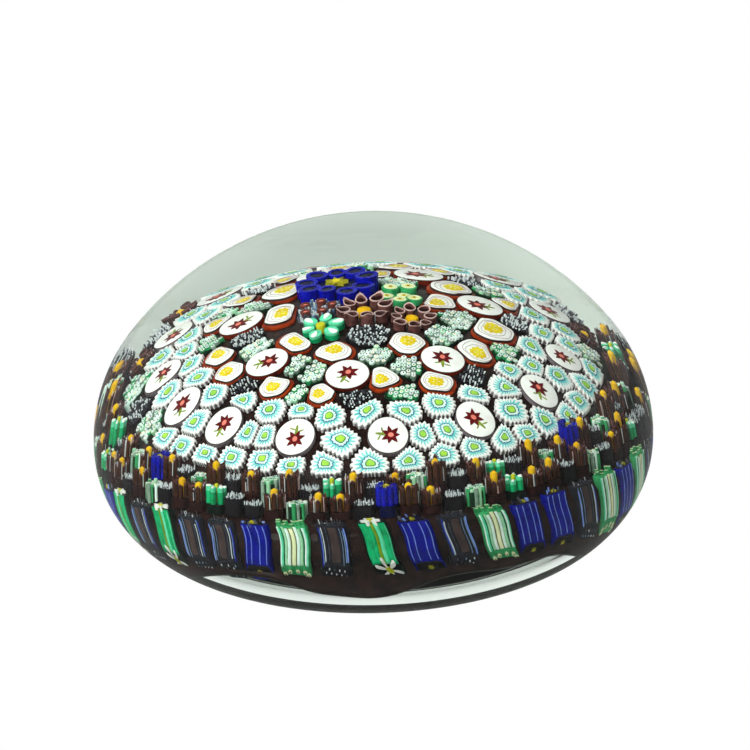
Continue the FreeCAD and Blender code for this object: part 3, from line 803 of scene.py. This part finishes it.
def on_face(cane, across, inset=1.0):
    """The point of a foot cane's outer face at a distance across from its middle."""
    return cane.place(cane.bearing + math.atan2(across, cane.reach(cane.bearing)), inset)


def stripe(work, cane, across, wide, thick, shade, start=0.2, stop=-0.2, inset=1.0):
    """A line of colour down the outer face."""
    x, y = on_face(cane, across, inset)
    work.rod(cane, oval(x, y, thick, wide, cane.bearing, 10), start, cane.end(stop), shade,
             soft=0.04, steps=BENDS, foot_soft=0.04)


def end_flower(work, cane, petals, length, width, shades, where, below):
    """A flower of drops on the lower, slanted end or on the upper end of a foot cane."""
    x, y = cane.local(0.0, where)
    petal, middle = shades
    turn = cane.draw.uniform(0, 1)
    top, bottom = (cane.end(-0.3), cane.end(0.07)) if below else (-0.22, 0.3)
    core_top, core_bottom = (cane.end(-0.3), cane.end(0.12)) if below else (-0.35, 0.3)
    for k in range(petals):
        a = turn + 2 * math.pi * k / petals
        work.rod(cane, leaf(x + 0.2 * length * math.cos(a), y + 0.2 * length * math.sin(a),
                            length, width, a), top, bottom, petal)
    r = 0.33 * length
    work.rod(cane, oval(x, y, r, r), core_top, core_bottom, middle)


def foot_body(work, cane, shade, teeth=0, bite=0.0, share=1.0):
    work.rod(cane, rim(cane, share, 60, teeth, bite), 0.05, cane.end(), shade, soft=0.18,
             steps=BENDS, foot_soft=0.15)


def foot_cobalt(work, cane):
    foot_body(work, cane, "navy", 14, 0.045, 0.95)
    draw = cane.draw
    work.rod(cane, rim(cane, 0.84, 30), -0.02, 0.4, "dark_glass", soft=0.05)
    work.rod(cane, rim(cane, 0.84, 30), cane.end(-0.3), cane.end(0.04), "dark_glass")
    for across in (-1.5, -0.6, 0.45, 1.4):
        stripe(work, cane, across + draw.uniform(-0.15, 0.15), 0.045, 0.05, "pale_blue",
               inset=0.96)
    end_flower(work, cane, 7, 0.32, 0.2, ("olive", "yellow_green"), 0.25, False)
    end_flower(work, cane, 7, 0.3, 0.2, ("olive", "yellow_green"), 0.1, True)
    for k in range(7):
        a = 2 * math.pi * k / 7
        x, y = 1.15 * math.cos(a), 0.62 * math.sin(a)
        px, py = cane.local(x, y)
        work.rod(cane, leaf(px, py, 0.4, 0.2, draw.uniform(0, 6)), -draw.uniform(0.2, 0.5), 0.4,
                 draw.choice(("slate", "pale_blue", "dark_cobalt")))


def foot_mint(work, cane):
    foot_body(work, cane, "leaf_green", 12, 0.05, 0.97)
    draw = cane.draw
    rows = ((-1.85, 0.15, "light_emerald"), (-1.55, 0.13, "mint_white"),
            (-1.27, 0.06, "deep_green"), (-1.0, 0.17, "pale_green"), (-0.6, 0.2, "mint_white"),
            (-0.33, 0.05, "ochre_brown"), (-0.05, 0.25, "cream"), (0.25, 0.05, "ochre_brown"),
            (0.52, 0.2, "mint_white"), (0.9, 0.16, "pale_green"), (1.15, 0.06, "deep_green"),
            (1.42, 0.15, "light_emerald"), (1.75, 0.13, "mint_white"))
    flip = draw.choice((-1, 1))
    drift = draw.uniform(-0.15, 0.15)
    for across, wide, shade in rows:
        stripe(work, cane, flip * across + drift, wide, 0.1, shade, draw.uniform(0.1, 0.4))
    for top in (True, False):
        for k in range(9):
            a = 2 * math.pi * k / 9
            x, y = cane.local(1.45 * math.cos(a), 0.55 * math.sin(a))
            r = 0.32
            if top:
                high = -draw.uniform(0.1, 0.5)
                casing, ring, dot = (high, 0.8), (high - PROUD, 0.5), (high - 2 * PROUD, 0.5)
            else:
                casing = (cane.end(-0.5), cane.end(draw.uniform(0.05, 0.2)))
                ring = (cane.end(-0.4), cane.end(0.25))
                dot = (cane.end(-0.4), cane.end(0.28))
            work.rod(cane, oval(x, y, r, r, 0, 10), *casing, "leaf_green")
            work.rod(cane, star(x, y, 0.8 * r, 0.55 * r, 6), *ring, "cream")
            work.rod(cane, oval(x, y, 0.09, 0.09, 0, 6), *dot, "dark_green")


def foot_stringer(work, cane):
    foot_body(work, cane, "charcoal", 8, 0.04)
    draw = cane.draw
    side = draw.choice((-1, 1))
    for across, wide, shade in ((1.5, 0.08, "pale_blue"), (1.25, 0.05, "blue_grey"),
                                (-1.15, 0.05, "thread"), (-1.4, 0.04, "blue_grey"),
                                (-1.62, 0.05, "mid_blue"), (0.9, 0.03, "blue_grey"),
                                (-0.7, 0.03, "slate")):
        stripe(work, cane, side * across + draw.uniform(-0.08, 0.08), wide, 0.05, shade,
               draw.uniform(0.2, 0.8), -draw.uniform(0.1, 0.8))
    stripe(work, cane, side * 0.1, 0.5, 0.06, "taupe", 0.4, -0.5)
    for x, y in packed(cane, 0.3, 0.9):
        work.rod(cane, oval(x, y, 0.05, 0.05, 0, 5), -draw.uniform(0, 0.5), 0.6,
                 draw.choice(("thread", "slate", "slate")))
        work.rod(cane, oval(x, y, 0.07, 0.07, 0, 5), cane.end(-0.3), cane.end(0.1),
                 draw.choice(("blue_grey", "thread", "slate")))


def foot_emerald(work, cane):
    foot_body(work, cane, "black_green", 0, 0.0, 0.93)
    side = cane.draw.choice((-1, 1))
    for across, r in ((-1.25, 0.5), (1.2, 0.55), (0.55, 0.35)):
        stripe(work, cane, side * across, r, 0.42, "emerald", 0.1, -0.15, 0.8)
        # the lighter line down the middle of each green rod is a painted highlight
        stripe(work, cane, side * across, r * 0.35, 0.12, "light_emerald", 0.3, -0.3, 1.0)
    # these light green and mint stripes near the middle are painted highlights
    stripe(work, cane, side * -0.45, 0.3, 0.3, "light_emerald", 0.1, -0.15, 0.93)
    stripe(work, cane, side * -0.42, 0.13, 0.1, "mint_white", 0.1, -0.2, 1.09)
    stripe(work, cane, side * 0.02, 0.2, 0.2, "olive_green", 0.1, -0.1, 1.0)
    end_flower(work, cane, 6, 0.95, 0.5, ("white", "yellow_green"), 0.3, False)
    end_flower(work, cane, 6, 1.2, 0.5, ("white", "yellow_green"), 0.25, True)


# ---------------------------------------------------------------- colours of glass

# two shades of each glass, its roughness, and how strongly it mirrors
PALETTE = {
    # mint white is a glass colour, and in the emerald foot canes a painted highlight line
    "white": ("F8F7F5", "EDE9E6", 0.3, 0.2), "mint_white": ("E2F3EA", "C6E8DC", 0.3, 0.2),
    "cream": ("ECEFC4", "D3DFA8", 0.3, 0.2),
    "egg_casing": ("A0380F", "5E1208", 0.3, 0.3), "egg_line": ("9A8688", "B8A6A4", 0.4, 0.1),
    "red_casing": ("8A2A14", "3A1410", 0.35, 0.2), "grey_casing": ("8E8288", "4E444C", 0.4, 0.2),
    "dark_line": ("4A3634", "2A2220", 0.4, 0.1), "yellow": ("E9D326", "D2AC10", 0.3, 0.2),
    "lime": ("AEDC4A", "80BE52", 0.3, 0.2), "olive": ("B2A628", "8A8A2C", 0.35, 0.2),
    "dark_red": ("6E1418", "420A0E", 0.3, 0.3), "salmon": ("F08C78", "E06A5C", 0.3, 0.2),
    "stem": ("8C9C3A", "5E7A2C", 0.35, 0.2), "turquoise": ("93DDD8", "52BFC2", 0.3, 0.2),
    "blue_line": ("2F6E9A", "1E4A7A", 0.35, 0.2), "deep_green": ("167A52", "0C4A34", 0.3, 0.3),
    "leaf_green": ("3FA868", "1E7A48", 0.3, 0.3), "pale_green": ("A8D8AE", "7FBE96", 0.3, 0.2),
    "grey_green": ("8FA695", "5F7868", 0.3, 0.2),
    "dark_green": ("1E3A26", "0E2216", 0.35, 0.2), "emerald": ("12B472", "078048", 0.2, 0.4),
    # light emerald is a stripe glass in the mint foot canes, and a painted highlight on the green
    # rods of the emerald canes
    "light_emerald": ("6FDDB0", "3CC48E", 0.25, 0.3),
    "black_green": ("0A1A12", "050C09", 0.3, 0.3),
    "yellow_green": ("D2CC2E", "A8AE22", 0.3, 0.2),
    "olive_green": ("7E9A1C", "56780F", 0.3, 0.3),
    "cobalt": ("0A12B0", "05086A", 0.15, 0.5), "dark_cobalt": ("060A3C", "030520", 0.25, 0.4),
    "pale_blue": ("8FA8F0", "5A7CE0", 0.3, 0.2), "mid_blue": ("1E30D0", "1420A0", 0.3, 0.3),
    # the pink shade is a thread glass and also a painted highlight ring on the lips of the
    # amethyst tubes
    "amethyst": ("7A4E4A", "422626", 0.2, 0.4), "pink_rim": ("E2C0BC", "B08884", 0.3, 0.2),
    "dark_amethyst": ("2E1412", "180A0A", 0.3, 0.3),
    "orange": ("F0C018", "D69A0C", 0.3, 0.3), "thread": ("EEF2F4", "C8D2D8", 0.3, 0.2),
    "dark_glass": ("181519", "0A090C", 0.25, 0.4), "slate": ("5A5E66", "34363E", 0.35, 0.3),
    "blue_grey": ("8AA8C8", "5E80A8", 0.3, 0.2), "charcoal": ("26262E", "131318", 0.25, 0.4),
    "taupe": ("4C3C3A", "342A2A", 0.3, 0.3), "ochre_brown": ("8A7A3C", "5E4A22", 0.35, 0.2),
    "brown_red": ("7A4038", "4E241E", 0.3, 0.3), "bed_glass": ("2A1814", "0C0808", 0.2, 0.4),
    "brown_glass": ("472619", "190B08", 0.25, 0.4),
    "navy": ("060F8C", "030658", 0.15, 0.5),
}
IN_GLASS = 0.2            # glass inside glass mirrors little
FLECKS = 900              # scale of the clouds and flecks in the coloured glass
RIPPLE = 0.00004          # metres
made = {}


def glass_colour(name):
    """Opaque coloured glass: cloudy in two shades, with fine flecks and a faint ripple."""
    if name in made:
        return made[name]
    first, second, roughness, mirror = PALETTE[name]
    material = plain_material(name, rgb(first), roughness, mirror * IN_GLASS)
    tree = material.node_tree
    shader = tree.nodes["Principled BSDF"]
    place = tree.nodes.new("ShaderNodeTexCoord")
    clouds = tree.nodes.new("ShaderNodeTexNoise")
    put(clouds, {"Scale": FLECKS, "Detail": 4, "Roughness": 0.6})
    ramp = tree.nodes.new("ShaderNodeValToRGB")
    ramp.color_ramp.elements[0].position = 0.38
    ramp.color_ramp.elements[0].color = (*rgb(first), 1)
    ramp.color_ramp.elements[1].position = 0.72
    ramp.color_ramp.elements[1].color = (*rgb(second), 1)
    gloss = tree.nodes.new("ShaderNodeMapRange")
    put(gloss, {"To Min": 0.7 * roughness, "To Max": min(1.0, 1.4 * roughness)})
    bump = tree.nodes.new("ShaderNodeBump")
    put(bump, {"Strength": 0.15, "Distance": RIPPLE})
    link = tree.links.new
    link(place.outputs["Object"], clouds.inputs["Vector"])
    link(clouds.outputs["Fac"], ramp.inputs["Fac"])
    link(ramp.outputs["Color"], shader.inputs["Base Color"])
    link(clouds.outputs["Fac"], gloss.inputs["Value"])
    link(gloss.outputs["Result"], shader.inputs["Roughness"])
    link(clouds.outputs["Fac"], bump.inputs["Height"])
    link(bump.outputs["Normal"], shader.inputs["Normal"])
    made[name] = material
    return material


# ---------------------------------------------------------------- the dark bed

# where the lower edge of the dark glass hangs lower or higher: bearing, spread, rise
LIP_WAVES = ((-90, 13, -2.7), (-104, 7, -0.9), (-60, 12, -0.8), (-27, 14, -2.6),
             (-147, 14, -2.6))
LIP_LEVEL = 5.0
FOOT_GAP = (90, 45)         # bearings with no foot canes: middle and half width, in degrees
SKIRT_GAP = (90, 57)        # and with no skirt canes
GAP_EDGE = 4
BED_TURNS = 240


def lip_rise(bearing):
    """How far the lower edge of the dark glass is moved up at a bearing, or down."""
    rise = 0.0
    for middle, spread, step in LIP_WAVES:
        apart = (bearing - middle + 180) % 360 - 180
        rise += step * math.exp(-(apart / spread) ** 2)
    return rise


def share_outside(bearing, gap):
    """1 outside a gap of the rows of canes, 0 inside, with a soft change between."""
    apart = abs((bearing - gap[0] + 180) % 360 - 180)
    share = min(1.0, max(0.0, (apart - gap[1]) / GAP_EDGE))
    return share * share * (3 - 2 * share)


def add_bed():
    """Dark glass under and between the canes, with a wavy lower edge; sizes in mm."""
    floor, edge = 10.25, 29.6      # underside, and outer radius where no foot canes stand
    bare_edge = 25.2               # outer radius where no skirt canes stand either

    def sphere(radius, reach):
        return (reach, math.sqrt(radius * radius - reach * reach) - APEX_DEPTH)

    inner, outer = CARPET_R - 5.6, CARPET_R - 0.45
    profile = [sphere(inner, r) for r in (6, 12, 17, 20)]
    profile += [(22.5, floor), (26.0, floor), (29.3, floor), (29.9, 8.0)]
    lip = len(profile)
    profile += [(30.3, LIP_LEVEL), (31.1, LIP_LEVEL + 0.1), (31.4, LIP_LEVEL + 0.6)]
    settled = len(profile)
    profile += [(30.4, 6.1), (30.8, 6.6), (31.15, 7.4), (31.15, 9.6), (30.4, 10.3),
                (29.4, 10.9), (27.8, 11.5), (26.2, 12.1), (25.2, 12.8)]
    profile += [sphere(outer, r) for r in (24.2, 21, 18, 15, 12, 8, 4)]
    rings = []
    for index, (radius, height) in enumerate(profile):
        ring = []
        for i in range(BED_TURNS):
            bearing = 360 * i / BED_TURNS
            share = share_outside(bearing, FOOT_GAP)
            z = height
            if lip <= index < settled:
                z += lip_rise(bearing)
            z = z * share + max(z, floor) * (1 - share)
            r = radius * share + min(radius, edge) * (1 - share)
            share = share_outside(bearing, SKIRT_GAP)
            r = r * share + min(r, bare_edge) * (1 - share)
            a = math.radians(bearing)
            ring.append(NEST @ Vector((r * math.cos(a), r * math.sin(a), z)) * MM)
        rings.append(ring)
    poles = [NEST @ Vector((0, 0, r - APEX_DEPTH)) * MM for r in (inner, outer)]
    piece = turned_body("dark_bed", poles, rings)
    piece.data.materials.append(glass_colour("bed_glass"))
    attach(piece, "root")
    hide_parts("ground_glass_bed", "foot_glass_bed")


# ---------------------------------------------------------------- putting it together

bpy.context.scene.view_settings.view_transform = "Standard"
add_camera()
add_stage()
add_softbox()
add_clear_glass()
add_bed()

# the direction of each stem, in degrees
STEM_TURNS = {
    "inner_flower_cane": (20, 0, 160, 30, 185, 250, 280),
    "outer_flower_cane": (320, 60, 200, 150, 30, 80, 250, 260, 240, 85, 180, 330, 290, 15),
}
for stem, turns in STEM_TURNS.items():
    nodes = ["%s_%d" % (stem, i + 1) for i in range(len(turns))]
    work = Glasswork()
    for node, turn in zip(nodes, turns):
        for cane in canes_of(node, False):
            flower_cane(work, cane, turn)
    work.piece(stem.replace("cane", "pictures"), "flower_glass", nodes)

ONE_NODE = (
    # node, piece, slot, recipe, options
    ("near_egg_canes", "near_eggs", "egg_glass", egg_cane, {}),
    ("middle_egg_canes", "middle_eggs", "egg_glass", egg_cane, {}),
    ("far_egg_canes", "far_eggs", "egg_glass", egg_cane, {}),
    ("inner_daisy_canes", "inner_daisies", "daisy_glass", daisy_cane, {}),
    ("middle_daisy_canes", "middle_daisies", "daisy_glass", daisy_cane, {}),
    ("edge_daisy_canes", "edge_daisies", "daisy_glass", daisy_cane, {}),
    ("near_tube_bundles", "near_bundles", "mint_glass", tube_bundle, {"green": 0.2}),
    ("far_tube_bundles", "far_bundles", "mint_glass", tube_bundle, {"green": 0.5}),
    ("thread_bundles", "thread_ends", "stringer_glass", stringer_cane, {}),
    ("edge_amethyst_canes", "edge_amethyst", "amethyst_glass", amethyst_cane,
     {"proud": 0.15, "threads": 16, "rod": 0.3, "body": "brown_glass"}),
    ("edge_mint_canes", "edge_bundles", "mint_glass", tube_bundle, {"green": 0.4}),
    ("edge_stringer_canes", "edge_threads", "stringer_glass", stringer_cane, {}),
    ("centre_cane", "centre_tubes", "amethyst_glass", amethyst_cane, {"proud": 0.9}),
    ("cluster_cobalt_cane", "cobalt_lobes", "cobalt_glass", cobalt_cane, {"proud": 1.1}),
    ("cluster_green_cane", "green_tubes", "mint_glass", green_tube_cane, {}),
    ("cluster_amethyst_cane", "amethyst_tubes", "amethyst_glass", amethyst_cane,
     {"proud": 0.4}),
    ("cluster_stringer_cane", "thread_bunch", "stringer_glass", stringer_cane,
     {"radius": 0.12, "spread": 0.4}),
    ("cluster_emerald_cane", "emerald_rods", "emerald_glass", emerald_cane, {"proud": 0.8}),
    ("cluster_tube_cane", "red_ringed_tubes", "stringer_glass", small_tube_cane, {}),
)
for node, name, slot, recipe, options in ONE_NODE:
    work = Glasswork()
    for cane in canes_of(node, False):
        recipe(work, cane, **options)
    work.piece(name, slot, [node])

SKIRT = {"amethyst": (amethyst_cane, {"proud": 0.9, "threads": 18, "rod": 0.36, "point": 0.3,
                                      "rod_lift": 0.45, "body": "brown_glass"}),
         "cobalt": (cobalt_cane, {"proud": 0.9}),
         "emerald": (emerald_cane, {"proud": 0.9}),
         "mint": (tube_bundle, {"green": 0.6, "radius": 0.26, "heart": 0.8, "depth": 3.2}),
         "stringer": (stringer_cane, {"radius": 0.07, "spread": 0.3, "count": 0.8})}
SKIRT_RISE = {"upper": (0.3, 1.2), "lower": (0.0, 0.6)}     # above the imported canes, in mm
for row in ("upper", "lower"):
    for kind, (recipe, options) in SKIRT.items():
        node = "%s_skirt_%s_canes" % (row, kind)
        work = Glasswork()
        for cane in canes_of(node, True):
            cane.top += NEST_UP * cane.draw.uniform(*SKIRT_RISE[row])
            recipe(work, cane, **options)
        work.piece("%s_skirt_%s" % (row, kind), kind + "_glass", [node])

FOOT = {"cobalt": foot_cobalt, "emerald": foot_emerald, "mint": foot_mint,
        "stringer": foot_stringer}
FOOT_SLANT = 0.95                       # rise of the lower end per mm outward
FOOT_BEND, FOOT_WAVE = (-0.3, 0.5), (-0.2, 0.2)
STRAIGHT_AT, STRAIGHT_REACH = math.radians(-112), math.radians(17)   # canes that hang straight
STRAIGHT_BEND = -1.1
for kind, recipe in FOOT.items():
    node = "foot_%s_canes" % kind
    work = Glasswork()
    for cane in canes_of(node, True):
        cane.slant = FOOT_SLANT
        cane.bend = cane.draw.uniform(*FOOT_BEND)
        cane.wave = cane.draw.uniform(*FOOT_WAVE)
        if math.cos(cane.bearing - STRAIGHT_AT) > math.cos(STRAIGHT_REACH):
            cane.bend += STRAIGHT_BEND
        recipe(work, cane)
    work.piece("foot_" + kind, kind + "_glass", [node])
